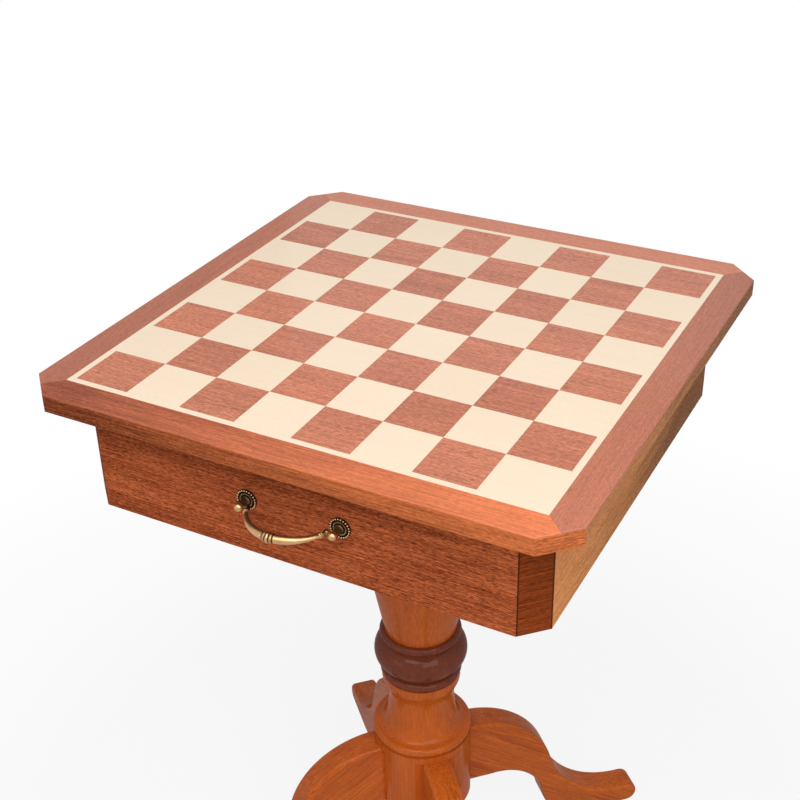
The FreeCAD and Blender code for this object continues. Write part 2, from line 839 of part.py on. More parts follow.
def is_upper_sweep(edge, toe):
    """True for the arcs along the top of a leg's side and round its toe."""
    start, end = edge.Vertexes[0].Point, edge.Vertexes[-1].Point
    middle = V((hub_flat + toe) / 2, start.y, (root_over + glide_height + foot_height) / 2)
    on_top = min(middle.distanceToPoint(start), middle.distanceToPoint(end)) < near
    round_toe = min(start.x, end.x) > toe - near
    return on_top or round_toe


def glide_form():
    """A round furniture glide with a driven pin, along +Z from the floor."""
    disc = rod(V(0, 0, 0), UP, glide_radius, glide_height)
    pin = rod(V(0, 0, glide_height), UP, glide_pin_radius, glide_pin_length)
    return disc.fuse(pin)


def make_legs():
    """Four legs with glides, the steel plate under the hub and its screws."""
    half_arm = leg_plate_arm_width / 2
    arm = block((0, arm_reach), (-half_arm, half_arm), (leg_plate_under, hub_bottom))
    plate = rod(V(0, 0, leg_plate_under), UP, leg_plate_radius, leg_plate_thickness)
    plate = plate.multiFuse([turn(arm, angle) for angle in LEG_ANGLES.values()]).removeSplitter()
    plate = plate.cut(rod(V(0, 0, leg_plate_under), UP, rod_radius + rod_gap, leg_plate_thickness))
    screw_place = V(leg_screw_reach, 0, leg_plate_under)
    solids, holes = screws([screw_place], UP, leg_plate_thickness + leg_screw_bite)
    glide_place = V(leg_spread, 0, 0)
    glide = aim(glide_form(), glide_place, UP)
    pin_hole_depth = glide_height + glide_pin_length + screw_hole_spare
    pin_hole = rod(glide_place, UP, glide_pin_radius + screw_fit, pin_hole_depth)
    leg = cut(leg_form(), holes + [pin_hole])
    parts = {"leg_plate_screws": [], "foot_glides": []}
    for side, angle in LEG_ANGLES.items():
        parts["leg_" + side] = turn(leg, angle)
        parts["leg_plate_screws"].append(turn(solids[0], angle))
        parts["foot_glides"].append(turn(glide, angle))
        plate = plate.cut(turn(holes[0], angle))
    parts["leg_plate"] = plate
    return parts


def make_table():
    parts = make_veneers()
    battens, batten_holes = make_battens()
    stops, stop_holes = make_stops()
    runners, runner_holes = make_runners()
    pull, pull_holes = make_pull()
    tie, pocket_under = make_tie()
    plate, plate_holes = make_plate(pocket_under)
    groups = [
        make_top(batten_holes + stop_holes),
        make_apron(runner_holes, plate_holes),
        battens,
        stops,
        runners,
        make_drawer(pull_holes),
        pull,
        tie,
        plate,
        make_column(),
        make_legs(),
    ]
    for group in groups:
        parts.update(group)
    return parts


os.makedirs("parts", exist_ok=True)
for node, piece in make_table().items():
    solid = Part.Compound(piece) if isinstance(piece, list) else piece
    solid.exportStep("parts/" + node + ".step")
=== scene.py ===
"""Chess table with an inlaid board: finishes, fine metalwork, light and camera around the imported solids."""

import json
import math

import bmesh
import bpy
from bpy.props import FloatProperty, FloatVectorProperty, IntProperty, PointerProperty
from mathutils import Matrix, Quaternion, Vector


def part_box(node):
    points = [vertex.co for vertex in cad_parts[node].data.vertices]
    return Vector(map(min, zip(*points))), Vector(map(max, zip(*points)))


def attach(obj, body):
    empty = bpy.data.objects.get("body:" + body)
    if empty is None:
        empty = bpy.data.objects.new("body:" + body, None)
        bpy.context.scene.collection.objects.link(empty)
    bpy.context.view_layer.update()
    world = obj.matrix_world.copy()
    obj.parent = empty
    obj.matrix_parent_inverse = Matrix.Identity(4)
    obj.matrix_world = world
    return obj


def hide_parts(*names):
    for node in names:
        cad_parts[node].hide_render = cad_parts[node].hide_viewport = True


bl_info = {
    "name": "Chess table",
    "version": (1, 0, 0),
    "blender": (4, 5, 0),
    "location": "View3D > Sidebar > Chess table",
    "description": "Finishes, metalwork, light and camera for an inlaid chess table",
    "category": "Object",
}

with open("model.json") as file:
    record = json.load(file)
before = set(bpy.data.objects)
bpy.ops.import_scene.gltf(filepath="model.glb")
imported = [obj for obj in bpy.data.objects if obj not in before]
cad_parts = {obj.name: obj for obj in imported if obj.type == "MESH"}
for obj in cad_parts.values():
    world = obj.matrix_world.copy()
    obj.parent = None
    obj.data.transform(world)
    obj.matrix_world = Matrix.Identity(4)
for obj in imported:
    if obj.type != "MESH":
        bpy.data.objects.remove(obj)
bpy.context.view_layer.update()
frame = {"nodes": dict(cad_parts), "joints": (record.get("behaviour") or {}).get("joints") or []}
NODES = frame["nodes"]
SIDES = ("front", "right", "back", "left")
CORNERS = {"front_right": -45, "back_right": 45, "back_left": 135, "front_left": -135}
HANDS = ("left", "right")
PHOTO_SIDE = 800
SENSOR = 36.0

# What each wood is used for, its pale tone and its deep tone
WOODS = {
    "square": ("dark squares and most of the border", (0.632, 0.222, 0.126), (0.385, 0.131, 0.080)),
    "maple": ("light squares and the stringing", (0.865, 0.712, 0.545), (0.795, 0.642, 0.475)),
    # The front board's wide span from pale to deep carries the painted light and shade along it.
    "border": ("front board of the border", (0.880, 0.246, 0.094), (0.225, 0.048, 0.022)),
    "lipping": ("front, back and corner lippings", (0.826, 0.224, 0.071), (0.118, 0.021, 0.005)),
    "front": ("drawer front, back panel and hidden boards", (0.540, 0.132, 0.045), (0.165, 0.030, 0.008)),
    # The side wood's paler, more golden tone is partly painted light on the faces turned to the sides, and
    # its pale tone carries the painted light at the front of the right panel.
    "side": ("side panels and the lippings above them", (0.980, 0.385, 0.128), (0.205, 0.074, 0.022)),
    "corner": ("canted corner panels", (0.315, 0.064, 0.0145), (0.112, 0.018, 0.003)),
    "turned": ("column and legs", (0.655, 0.146, 0.019), (0.365, 0.062, 0.008)),
    "collar": ("column's beaded collar", (0.235, 0.058, 0.027), (0.110, 0.022, 0.009)),
    "inner": ("drawer box and carcass", (0.66, 0.47, 0.27), (0.48, 0.315, 0.165)),
}
PALE_WOODS = ("maple", "inner")


def colour(name, text, default):
    return FloatVectorProperty(name=name, description=text, default=default, subtype="COLOR", min=0, max=1)


def length(name, text, default):
    return FloatProperty(name=name, description=text, default=default, unit="LENGTH", precision=5)


def place(name, text, default):
    return FloatVectorProperty(name=name, description=text, default=default, subtype="TRANSLATION")


def share(name, text, default):
    return FloatProperty(name=name, description=text, default=default, min=0, max=1, subtype="FACTOR")


def power(name, text, default):
    return FloatProperty(name=name, description=text, default=default, unit="POWER")


class ChessTimber(bpy.types.PropertyGroup):
    """The pale and the deep tone of each wood, the pores, and the fine sizes of the boards"""

    pore: colour("Pore", "Colour of the open pores in the red woods", (0.060, 0.012, 0.004))
    pale_pore: colour("Pale pore", "Colour of the flecks in the pale woods", (0.52, 0.36, 0.21))
    square: length("Square", "Side of one square of the board", 0.058)
    edge: length("Softened edge", "Width of the softened edges of the boards", 0.0005)


def add_wood_tones():
    """Gives the timber settings a pale and a deep tone for each wood."""
    for wood, (use, pale, deep) in WOODS.items():
        for depth, tone in (("pale", pale), ("deep", deep)):
            text = f"{depth.capitalize()} tone of the {use}"
            label = f"{wood.capitalize()} {depth}"
            ChessTimber.__annotations__[f"{wood}_{depth}"] = colour(label, text, tone)


class ChessMetal(bpy.types.PropertyGroup):
    """Sizes and tones of the pull and the fixings"""

    bright: colour("Bright brass", "Rubbed brass on the high places", (0.60, 0.345, 0.165))
    dark: colour("Dark brass", "Patina in the hollows", (0.022, 0.012, 0.006))
    zinc: colour("Zinc", "Plated steel fixings", (0.56, 0.57, 0.58))
    beads: IntProperty(name="Beads", description="Beads round each rosette", default=22, min=8)
    bead: length("Bead radius", "Radius of a bead on the rosette's rim", 0.00095)
    post: length("Post radius", "Radius of the stem of a ball post", 0.0033)
    ball: length("Ball radius", "Radius of the ball on a post", 0.0043)
    standoff: length("Ball standoff", "From the drawer front to the ball's centre", 0.0135)
    bail_end: length("Bail end radius", "Radius of the bail beside its collars", 0.0018)
    bail_middle: length("Bail middle radius", "Radius of the bail beside its rings", 0.0039)
    collar: length("Collar radius", "Radius of the ball where the bail meets its pin", 0.0028)
    collar_place: length("Collar place", "From the middle of the bail to its collars", 0.0405)
    swell: FloatProperty(name="Swell", description="How fast the bail swells from its ends", default=1.4)
    pin: length("Pin radius", "Radius of the bail's pivot pins", 0.0015)
    ring_width: length("Ring width", "Width of one turned ring on the bail", 0.0032)
    groove: length("Groove radius", "Radius of the bail between its rings", 0.0035)
    side_ring: length("Side ring radius", "Radius of the two outer rings on the bail", 0.0049)
    neck_ring: length("Neck ring radius", "Radius of the small rings near the bail's ends", 0.0029)
    neck_width: length("Neck ring width", "Width of a small ring near the bail's ends", 0.0016)
    neck_place: length("Neck ring place", "From a collar's centre to the small rings, along the bow", 0.006)


class ChessStage(bpy.types.PropertyGroup):
    """Camera and studio light"""

    eye: place("Eye", "Where the camera stands", (0.53503, -1.01722, 1.33782))
    aim: place("Aim", "What the camera looks at", (-0.01491, -0.00812, 0.67293))
    roll: FloatProperty(name="Roll", description="Camera roll", default=math.radians(-1.294), subtype="ANGLE")
    focal: FloatProperty(name="Focal length", description="In pixels of the square picture", default=1318.65)
    rise: FloatProperty(name="Rise", description="Axis above the picture's middle, in pixels", default=16.5)
    floor: length("Floor", "Radius of the floor", 6.0)
    shadow: length("Shadow", "Radius inside which the floor shows shadows", 1.1)
    fill: share("Fill", "Strength of the even light from all round", 0.27)
    overhead: power("Overhead", "Power of the overhead softbox", 16.2)
    front: power("Front", "Power of the front softbox", 27.0)
    side: power("Side", "Power of the softbox on the right", 25.0)
    low: power("Low", "Power of the low softbox on the left", 4.5)
    back: power("Back", "Power of the softbox behind", 4.0)


SETTINGS = (("chess_timber", ChessTimber), ("chess_metal", ChessMetal), ("chess_stage", ChessStage))


def timber_settings():
    return bpy.context.scene.chess_timber


def metal_settings():
    return bpy.context.scene.chess_metal


# Shader nodes


def plug(tree, socket, value):
    """Links a socket's value, or sets it."""
    if isinstance(value, bpy.types.NodeSocket):
        tree.links.new(value, socket)
    elif socket.type == "RGBA" and len(value) == 3:
        socket.default_value = (*value, 1.0)
    else:
        socket.default_value = value


def shader_node(tree, kind, inputs=None, **settings):
    node = tree.nodes.new(kind)
    for name, value in settings.items():
        setattr(node, name, value)
    for name, value in (inputs or {}).items():
        plug(tree, node.inputs[name], value)
    return node


def arithmetic(tree, operation, *values):
    return shader_node(tree, "ShaderNodeMath", dict(enumerate(values)), operation=operation).outputs[0]


def vectors(tree, operation, *values):
    return shader_node(tree, "ShaderNodeVectorMath", dict(enumerate(values)), operation=operation).outputs[0]


def centred(tree, value):
    """A noise that runs about zero."""
    return arithmetic(tree, "SUBTRACT", value, 0.5)


def noise(tree, vector, stretch, detail):
    """Noise whose features are one over the stretch, in metres, along each axis."""
    scaled = vectors(tree, "MULTIPLY", vector, stretch)
    inputs = {"Vector": scaled, "Scale": 1.0, "Detail": detail}
    return shader_node(tree, "ShaderNodeTexNoise", inputs).outputs[0]


def spread(tree, value, low, high, to_low=0.0, to_high=1.0):
    inputs = {0: value, 1: low, 2: high, 3: to_low, 4: to_high}
    return shader_node(tree, "ShaderNodeMapRange", inputs).outputs[0]


def blend_colour(tree, factor, first, second, mode="MIX"):
    """Mixes two colours. The node has sockets of one name for each kind of data, so they go by place."""
    node = shader_node(tree, "ShaderNodeMix", data_type="RGBA", blend_type=mode)
    for index, value in ((0, factor), (6, first), (7, second)):
        plug(tree, node.inputs[index], value)
    return node.outputs[2]


def shader_group(name, inputs, outputs):
    """A new node group with named sockets, and its two ends."""
    tree = bpy.data.node_groups.new(name, "ShaderNodeTree")
    for label, kind in inputs:
        tree.interface.new_socket(label, in_out="INPUT", socket_type=kind)
    for label, kind in outputs:
        tree.interface.new_socket(label, in_out="OUTPUT", socket_type=kind)
    return tree, tree.nodes.new("NodeGroupInput").outputs, tree.nodes.new("NodeGroupOutput").inputs


# Noises of the wood: features per metre along and across the grain, and their detail
SWAY = ((6.0, 18.0, 18.0), 2.0)
RIBBON = ((3.0, 60.0, 60.0), 3.0)
TONE = ((4.0, 20.0, 20.0), 2.0)
STREAK = ((18.0, 620.0, 620.0), 4.0)
FLECK = ((210.0, 1500.0, 1500.0), 1.0)
PORE = ((200.0, 1600.0, 1600.0), 1.0)

# How far the grain sways and the pores are set off from the flecks, in metres
SWAY_REACH = 0.008
PORE_SHIFT = (0.7, 0.3, 0.5)

# Which part of each noise shows, and how strongly
TONE_WEIGHT = 0.6
DEPTH_RANGE = 0.6
STREAK_BAND = (0.3, 0.7)
STREAK_ROUGHNESS = 0.08
STREAK_RELIEF = 0.4
FLECK_BAND = (0.5, 0.66)
FLECK_WEIGHT = 0.6
PORE_BAND = (0.52, 0.66)
PORE_ROUGHNESS = 0.12

# Where the dark seam at a panel's end fades, in metres from the end
SEAM_BAND = (0.0006, 0.0016)
SEAM_DARKNESS = 0.9


def figure_group():
    """Wood figure with the grain along X: ribbons, broad tone, fibres, open pores, dark end seams, and
    painted light that lightens or deepens the tone along the board.
    """
    found = bpy.data.node_groups.get("Wood figure")
    if found:
        return found
    inputs = [("Vector", "NodeSocketVector"), ("Pale", "NodeSocketColor"), ("Deep", "NodeSocketColor")]
    inputs += [("Pore", "NodeSocketColor"), ("Shade", "NodeSocketFloat"), ("Ribbon", "NodeSocketFloat")]
    inputs += [("Pores", "NodeSocketFloat"), ("Polish", "NodeSocketFloat"), ("Seam", "NodeSocketFloat")]
    inputs += [("Fade", "NodeSocketFloat"), ("Figure", "NodeSocketFloat")]
    outputs = [("Color", "NodeSocketColor"), ("Roughness", "NodeSocketFloat"), ("Height", "NodeSocketFloat")]
    tree, given, result = shader_group("Wood figure", inputs, outputs)
    sway = centred(tree, noise(tree, given["Vector"], *SWAY))
    sway = arithmetic(tree, "MULTIPLY", sway, SWAY_REACH)
    sway = shader_node(tree, "ShaderNodeCombineXYZ", {1: sway, 2: sway}).outputs[0]
    vector = vectors(tree, "ADD", given["Vector"], sway)
    streak = spread(tree, noise(tree, vector, *STREAK), *STREAK_BAND)
    fleck = spread(tree, noise(tree, vector, *FLECK), *FLECK_BAND, 0.0, FLECK_WEIGHT)
    fleck = arithmetic(tree, "MULTIPLY", fleck, given["Pores"])
    pore = noise(tree, vectors(tree, "ADD", vector, PORE_SHIFT), *PORE)
    pore = arithmetic(tree, "MULTIPLY", spread(tree, pore, *PORE_BAND), given["Pores"])
    ribbon = centred(tree, noise(tree, vector, *RIBBON))
    ribbon = arithmetic(tree, "MULTIPLY", ribbon, given["Ribbon"])
    tone = centred(tree, noise(tree, vector, *TONE))
    tone = arithmetic(tree, "MULTIPLY_ADD", tone, TONE_WEIGHT, ribbon)
    lively = arithmetic(tree, "ADD", centred(tree, streak), tone)
    # Painted light and shade: the tone lightens or deepens along the board by a slope per metre, standing for
    # light falling off across it; the shade at the middle is partly the board's own tone and partly painted
    # shade.
    along = shader_node(tree, "ShaderNodeSeparateXYZ", {0: given["Vector"]}).outputs[0]
    shade = arithmetic(tree, "MULTIPLY_ADD", along, given["Fade"], given["Shade"])
    depth = arithmetic(tree, "MULTIPLY_ADD", lively, given["Figure"], shade)
    depth = spread(tree, depth, -DEPTH_RANGE, DEPTH_RANGE)
    base = blend_colour(tree, depth, given["Pale"], given["Deep"])
    base = blend_colour(tree, fleck, base, given["Pale"], "ADD")
    gap = arithmetic(tree, "SUBTRACT", given["Seam"], arithmetic(tree, "ABSOLUTE", along))
    gap = spread(tree, gap, *SEAM_BAND, SEAM_DARKNESS, 0.0)
    dark = arithmetic(tree, "MAXIMUM", pore, gap)
    plug(tree, result["Color"], blend_colour(tree, dark, base, given["Pore"]))
    rough = arithmetic(tree, "MULTIPLY_ADD", pore, PORE_ROUGHNESS, given["Polish"])
    plug(tree, result["Roughness"], arithmetic(tree, "MULTIPLY_ADD", streak, STREAK_ROUGHNESS, rough))
    relief = arithmetic(tree, "MULTIPLY", streak, STREAK_RELIEF)
    plug(tree, result["Height"], arithmetic(tree, "SUBTRACT", relief, pore))
    return tree


# How far apart the leaves are cut from their timber, at most, in metres
LEAF_JUMP = (9.0, 7.0, 5.0)


def leaf_group():
    """Gives every square of veneer its own stretch of grain and its own shade."""
    found = bpy.data.node_groups.get("Veneer leaves")
    if found:
        return found
    inputs = [("Vector", "NodeSocketVector"), ("Square", "NodeSocketFloat"), ("Spread", "NodeSocketFloat")]
    outputs = [("Vector", "NodeSocketVector"), ("Shade", "NodeSocketFloat")]
    tree, given, result = shader_group("Veneer leaves", inputs, outputs)
    flat = vectors(tree, "MULTIPLY", given["Vector"], (1.0, 1.0, 0.0))
    sides = {0: given["Square"], 1: given["Square"], 2: 1.0}
    size = shader_node(tree, "ShaderNodeCombineXYZ", sides).outputs[0]
    cell = vectors(tree, "FLOOR", vectors(tree, "DIVIDE", flat, size))
    random = shader_node(tree, "ShaderNodeTexWhiteNoise", {"Vector": cell}, noise_dimensions="3D")
    offset = vectors(tree, "MULTIPLY", random.outputs["Color"], LEAF_JUMP)
    plug(tree, result["Vector"], vectors(tree, "ADD", given["Vector"], offset))
    shade = centred(tree, random.outputs["Value"])
    plug(tree, result["Shade"], arithmetic(tree, "MULTIPLY", shade, given["Spread"]))
    return tree


# Noises of the metals and the plastic: features per metre, and their detail
SPECKLE = ((900.0, 900.0, 900.0), 3.0)
CLOUD = ((140.0, 140.0, 140.0), 2.0)
MOTTLE = ((220.0, 220.0, 220.0), 3.0)
SCUFF = ((400.0, 400.0, 400.0), 4.0)
MOTTLE_BAND = (0.2, 0.8)

# How the patina, and the bail's painted highlight and shade, break up
PATINA_BREAK = 0.5
PATINA_BAND = (0.05, 0.95)

# Least and greatest roughness, and how dark the mottle on zinc is
BRASS_ROUGHNESS = (0.3, 0.6)
ZINC_ROUGHNESS = (0.25, 0.45)
PLASTIC_ROUGHNESS = (0.4, 0.65)
ZINC_SHADE = 0.7
PLASTIC_DARK = (0.030, 0.022, 0.018)
PLASTIC_SCUFFED = (0.060, 0.048, 0.040)


def patina_group():
    """Antique brass tone from a painted patina, which on the bail also holds a painted highlight and painted
    shade, broken up by speckle.
    """
    found = bpy.data.node_groups.get("Antique patina")
    if found:
        return found
    inputs = [("Vector", "NodeSocketVector"), ("Patina", "NodeSocketFloat")]
    inputs += [("Bright", "NodeSocketColor"), ("Dark", "NodeSocketColor")]
    outputs = [("Color", "NodeSocketColor"), ("Roughness", "NodeSocketFloat"), ("Height", "NodeSocketFloat")]
    tree, given, result = shader_group("Antique patina", inputs, outputs)
    speckle = noise(tree, given["Vector"], *SPECKLE)
    cloud = noise(tree, given["Vector"], *CLOUD)
    broken = arithmetic(tree, "MULTIPLY_ADD", centred(tree, speckle), PATINA_BREAK, given["Patina"])
    broken = arithmetic(tree, "MULTIPLY_ADD", centred(tree, cloud), PATINA_BREAK, broken)
    amount = spread(tree, broken, *PATINA_BAND)
    plug(tree, result["Color"], blend_colour(tree, amount, given["Bright"], given["Dark"]))
    plug(tree, result["Roughness"], spread(tree, amount, 0.0, 1.0, *BRASS_ROUGHNESS))
    plug(tree, result["Height"], speckle)
    return tree


def new_material(name):
    """A material with its shader and its coordinates."""
    material = bpy.data.materials.new(name)
    material.use_nodes = True
    tree = material.node_tree
    tree.nodes.clear()
    shader = tree.nodes.new("ShaderNodeBsdfPrincipled")
    output = tree.nodes.new("ShaderNodeOutputMaterial")
    tree.links.new(shader.outputs[0], output.inputs["Surface"])
    return material, tree, shader, shader_node(tree, "ShaderNodeTexCoord").outputs["Object"]


# Strength of the relief, and its depth in metres
WOOD_RELIEF = (0.12, 0.0002)
BRASS_RELIEF = (0.1, 0.0001)


def finish_shader(tree, shader, group, bump, distance):
    """Feeds a group's colour, roughness and relief to the shader."""
    plug(tree, shader.inputs["Base Color"], group.outputs["Color"])
    plug(tree, shader.inputs["Roughness"], group.outputs["Roughness"])
    relief = shader_node(tree, "ShaderNodeBump", {"Strength": bump, "Distance": distance})
    plug(tree, relief.inputs["Height"], group.outputs["Height"])
    plug(tree, shader.inputs["Normal"], relief.outputs[0])


# How glossy each finish is: its clear coat, the wood's own gloss and the roughness under the coat
LACQUER = {"coat": 0.35, "gloss": 0.0, "polish": 0.3}
EDGE = {"coat": 0.12, "gloss": 0.0, "polish": 0.4}
SATIN = {"coat": 0.0, "gloss": 0.015, "polish": 0.45}
TURNED = {"coat": 0.24, "gloss": 0.0, "polish": 0.2}
BARE = {"coat": 0.0, "gloss": 0.2, "polish": 0.55}
COAT_ROUGHNESS = 0.1

# Turns that bring grain that runs this way to X, in degrees
SIDEWAYS = (0, 0, 0)
FORWARD = (0, 0, -90)
UPRIGHT = (0, 90, 0)

# Which stretch of its timber a board is cut from, in metres
CUTS = {
    "edge corners": (0, 4, 4),
    "carcass across": (2, 2, 2),
    "bottom board": (5, 1, 0),
    "drawer sides": (1, 3, 2),
    "drawer ends": (6, 3, 2),
    "drawer bottom": (8, 1, 1),
    "collar wood": (3, 3, 3),
    "column plate": (2, 5, 1),
}
NO_CUT = (0, 0, 0)

# How far apart the boards of one set are cut, from one side to the next or per degree round the table
BORDER_CUT = (0, 1.7, 0.9)
EDGE_CUT = (0, 0, 2.3)
PANEL_CUT = (0, 0, 1.3)
CORNER_CUT = (0, 0.01, 0)

INNER_GRAIN = {"ribbon": 0.7, "pores": 0.25, "figure": 0.8}
NO_SEAM = 10.0


def cut_along(step, count):
    """The stretch for one board of a set, so many steps along the timber."""
    return [count * part for part in step]


def timber(
    name,
    wood,
    finish,
    turn=SIDEWAYS,
    cut=None,
    ribbon=1.0,
    pores=0.5,
    shade=0.0,
    fade=0.0,
    figure=1.0,
    leaves=0.0,
    seam=NO_SEAM,
    folded=False,
):
    """A wood with its finish. The turn brings the grain to X, and the cut picks a stretch of it. The fade is
    painted light, lightening or deepening the tone along the board per metre; the shade is partly the board's
    own tone, partly painted shade.
    """
    woods = timber_settings()
    material, tree, shader, vector = new_material(name)
    pore = woods.pale_pore if wood in PALE_WOODS else woods.pore
    if folded:
        vector = vectors(tree, "ABSOLUTE", vector)
    if leaves:
        group = shader_node(tree, "ShaderNodeGroup", node_tree=leaf_group())
        for label, value in (("Vector", vector), ("Square", woods.square), ("Spread", leaves)):
            plug(tree, group.inputs[label], value)
        vector = group.outputs["Vector"]
        shade = arithmetic(tree, "ADD", group.outputs["Shade"], shade)
    turned = {"Rotation": [math.radians(angle) for angle in turn], "Location": cut or CUTS.get(name, NO_CUT)}
    vector = shader_node(tree, "ShaderNodeMapping", {"Vector": vector, **turned}).outputs[0]
    grain = shader_node(tree, "ShaderNodeGroup", node_tree=figure_group())
    inputs = {"Vector": vector, "Pore": pore, "Seam": seam, "Polish": finish["polish"]}
    inputs.update({"Pale": getattr(woods, wood + "_pale"), "Deep": getattr(woods, wood + "_deep")})
    inputs.update({"Shade": shade, "Fade": fade, "Ribbon": ribbon, "Pores": pores, "Figure": figure})
    for label, value in inputs.items():
        plug(tree, grain.inputs[label], value)
    finish_shader(tree, shader, grain, *WOOD_RELIEF)
    shader.inputs["Coat Weight"].default_value = finish["coat"]
    shader.inputs["Coat Roughness"].default_value = COAT_ROUGHNESS
    shader.inputs["Specular IOR Level"].default_value = finish["gloss"]
    return material


def brass():
    """Antique brass that follows each piece's painted patina, and on the bail its painted highlight and
    shade.
    """
    found = bpy.data.materials.get("antique brass")
    if found:
        return found
    metals = metal_settings()
    material, tree, shader, vector = new_material("antique brass")
    painted = shader_node(tree, "ShaderNodeAttribute", attribute_name="patina")
    group = shader_node(tree, "ShaderNodeGroup", node_tree=patina_group())
    inputs = {"Vector": vector, "Patina": painted.outputs["Fac"]}
    inputs.update({"Bright": metals.bright, "Dark": metals.dark})
    for label, value in inputs.items():
        plug(tree, group.inputs[label], value)
    finish_shader(tree, shader, group, *BRASS_RELIEF)
    shader.inputs["Metallic"].default_value = 1.0
    return material


def zinc():
    """Plated steel with a faint mottle."""
    material, tree, shader, vector = new_material("zinc plate")
    mottle = noise(tree, vector, *MOTTLE)
    tone = metal_settings().zinc
    darker = [ZINC_SHADE * part for part in tone]
    plug(tree, shader.inputs["Base Color"], blend_colour(tree, mottle, tone, darker))
    plug(tree, shader.inputs["Roughness"], spread(tree, mottle, *MOTTLE_BAND, *ZINC_ROUGHNESS))
    shader.inputs["Metallic"].default_value = 1.0
    return material


def glide_plastic():
    """Dark moulded plastic, a little scuffed."""
    material, tree, shader, vector = new_material("glide plastic")
    scuff = noise(tree, vector, *SCUFF)
    plug(tree, shader.inputs["Base Color"], blend_colour(tree, scuff, PLASTIC_DARK, PLASTIC_SCUFFED))
    plug(tree, shader.inputs["Roughness"], spread(tree, scuff, *MOTTLE_BAND, *PLASTIC_ROUGHNESS))
    return material


# Distances within which points merge, in metres, and angles in degrees
WELD_REACH = 1e-6
DOUBLES_REACH = 1e-7
BEVEL_STEPS = 2
BEVEL_ANGLE = 30
SHARP_ANGLE = 40
LATHE_STEPS = 40


def dress(node, material):
    """Gives a solid its finish."""
    mesh = NODES[node].data
    mesh.materials.clear()
    mesh.materials.append(material)


def weld(node):
    """Joins a solid's loose faces at their corners."""
    piece = NODES[node]
    modifier = piece.modifiers.new("weld", "WELD")
    modifier.merge_threshold = WELD_REACH
    return piece


def soften(node):
    """Takes the sharpness off a board's edges."""
    bevel = weld(node).modifiers.new("softened edges", "BEVEL")
    bevel.width = timber_settings().edge
    bevel.segments = BEVEL_STEPS
    bevel.limit_method = "ANGLE"
    bevel.angle_limit = math.radians(BEVEL_ANGLE)


def dress_boards(material, *nodes):
    """Gives boards their finish and softens their edges."""
    for node in nodes:
        dress(node, material)
        soften(node)


def dress_turnings(material, *nodes):
    """Gives turned and curved solids their finish and joins their faces."""
    for node in nodes:
        dress(node, material)
        weld(node)


# Mesh pieces


def add_piece(name, form, body, material, nodes):
    """Makes an object of a finished bmesh, which rides on a body and stands for its nodes."""
    bmesh.ops.remove_doubles(form, verts=form.verts, dist=DOUBLES_REACH)
    bmesh.ops.recalc_face_normals(form, faces=form.faces)
    mesh = bpy.data.meshes.new(name)
    form.to_mesh(mesh)
    form.free()
    mesh.shade_smooth()
    mesh.set_sharp_from_angle(angle=math.radians(SHARP_ANGLE))
    mesh.materials.append(material)
    piece = bpy.data.objects.new(name, mesh)
    bpy.context.scene.collection.objects.link(piece)
    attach(piece, body)
    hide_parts(*nodes)


def lathe(form, profile, centre, axis, steps=LATHE_STEPS):
    """Spins a profile of (radius, height) points round an axis through a centre."""
    turn = Vector((0, 0, 1)).rotation_difference(Vector(axis)).to_matrix().to_4x4()
    local = Matrix.Translation(centre) @ turn
    points = [form.verts.new(local @ Vector((radius, 0, height))) for radius, height in profile]
    edges = [form.edges.new(pair) for pair in zip(points, points[1:])]
    bmesh.ops.spin(
        form,
        geom=points + edges,
        cent=centre,
        axis=axis,
        angle=2 * math.pi,
        steps=steps,
        use_merge=True,
    )


def paint_patina_and_light(form, rule):
    """Stores how dark the brass is at each point: its patina, and on the bail a painted highlight and shade
    as well.
    """
    layer = form.verts.layers.float.new("patina")
    for vert in form.verts:
        vert[layer] = rule(vert.co)


def arc_points(centre, radius, start, end, count):
    """Points along an arc in the plane of (radius, height), by angle in degrees."""
    angles = [math.radians(start + (end - start) * i / count) for i in range(count + 1)]
    return [(centre[0] + radius * math.cos(angle), centre[1] + radius * math.sin(angle)) for angle in angles]


class CHESSTABLE_OT_board(bpy.types.Operator):
    """Finishes the dark and light squares and the stringing round them"""

    bl_idname = "chesstable.board"
    bl_label = "Inlaid board"

    def execute(self, context):
        maple = {"figure": 0.4, "pores": 0.06}
        dress("dark_squares", timber("dark squares", "square", LACQUER, leaves=0.4, pores=0.45))
        dress("light_squares", timber("light squares", "maple", LACQUER, leaves=0.35, **maple))
        dress("stringing", timber("stringing", "maple", LACQUER, **maple))
        return {"FINISHED"}


class CHESSTABLE_OT_border(bpy.types.Operator):
    """Finishes the mitred border, the core and the lippings round the top"""

    bl_idname = "chesstable.border"
    bl_label = "Border and edge"

    # How each board's tone deepens along it, per metre, and its shade at the middle: partly the board's own
    # tone, partly painted light and shade that fall off across the top, paler towards its front right and
    # deeper towards its front left
    border_light_and_tones = {"front": (-1.7, 0.11), "right": (0.9, 0.31), "back": (0.0, -0.25), "left": (0.9, 0.42)}
    lipping_light_and_tones = {"front": (-1.6, 0.21), "right": (1.3, 0.26), "back": (0.0, 0.1), "left": (0.3, 0.0)}

    def execute(self, context):
        for i, side in enumerate(SIDES):
            turn = (0, 0, -90 * i)
            cut = cut_along(BORDER_CUT, i)
            fade, shade = self.border_light_and_tones[side]
            tones = {"shade": shade, "fade": fade, "figure": 0.45, "pores": 0.25}
            wood = "border" if side == "front" else "square"
            dress("border_" + side, timber("border " + side, wood, LACQUER, turn, cut, **tones))
            cut = cut_along(EDGE_CUT, i)
            fade, shade = self.lipping_light_and_tones[side]
            tones = {"shade": shade, "fade": fade, "figure": 0.45, "pores": 0.35}
            wood = "side" if side in HANDS else "lipping"
            dress("edge_" + side, timber("edge " + side, wood, EDGE, turn, cut, **tones))
        folds = {"shade": -0.1, "figure": 0.6, "folded": True}
        dress("edge_corners", timber("edge corners", "lipping", EDGE, (0, 0, 45), **folds))
        dress("top_core", timber("top core", "front", BARE))
        return {"FINISHED"}


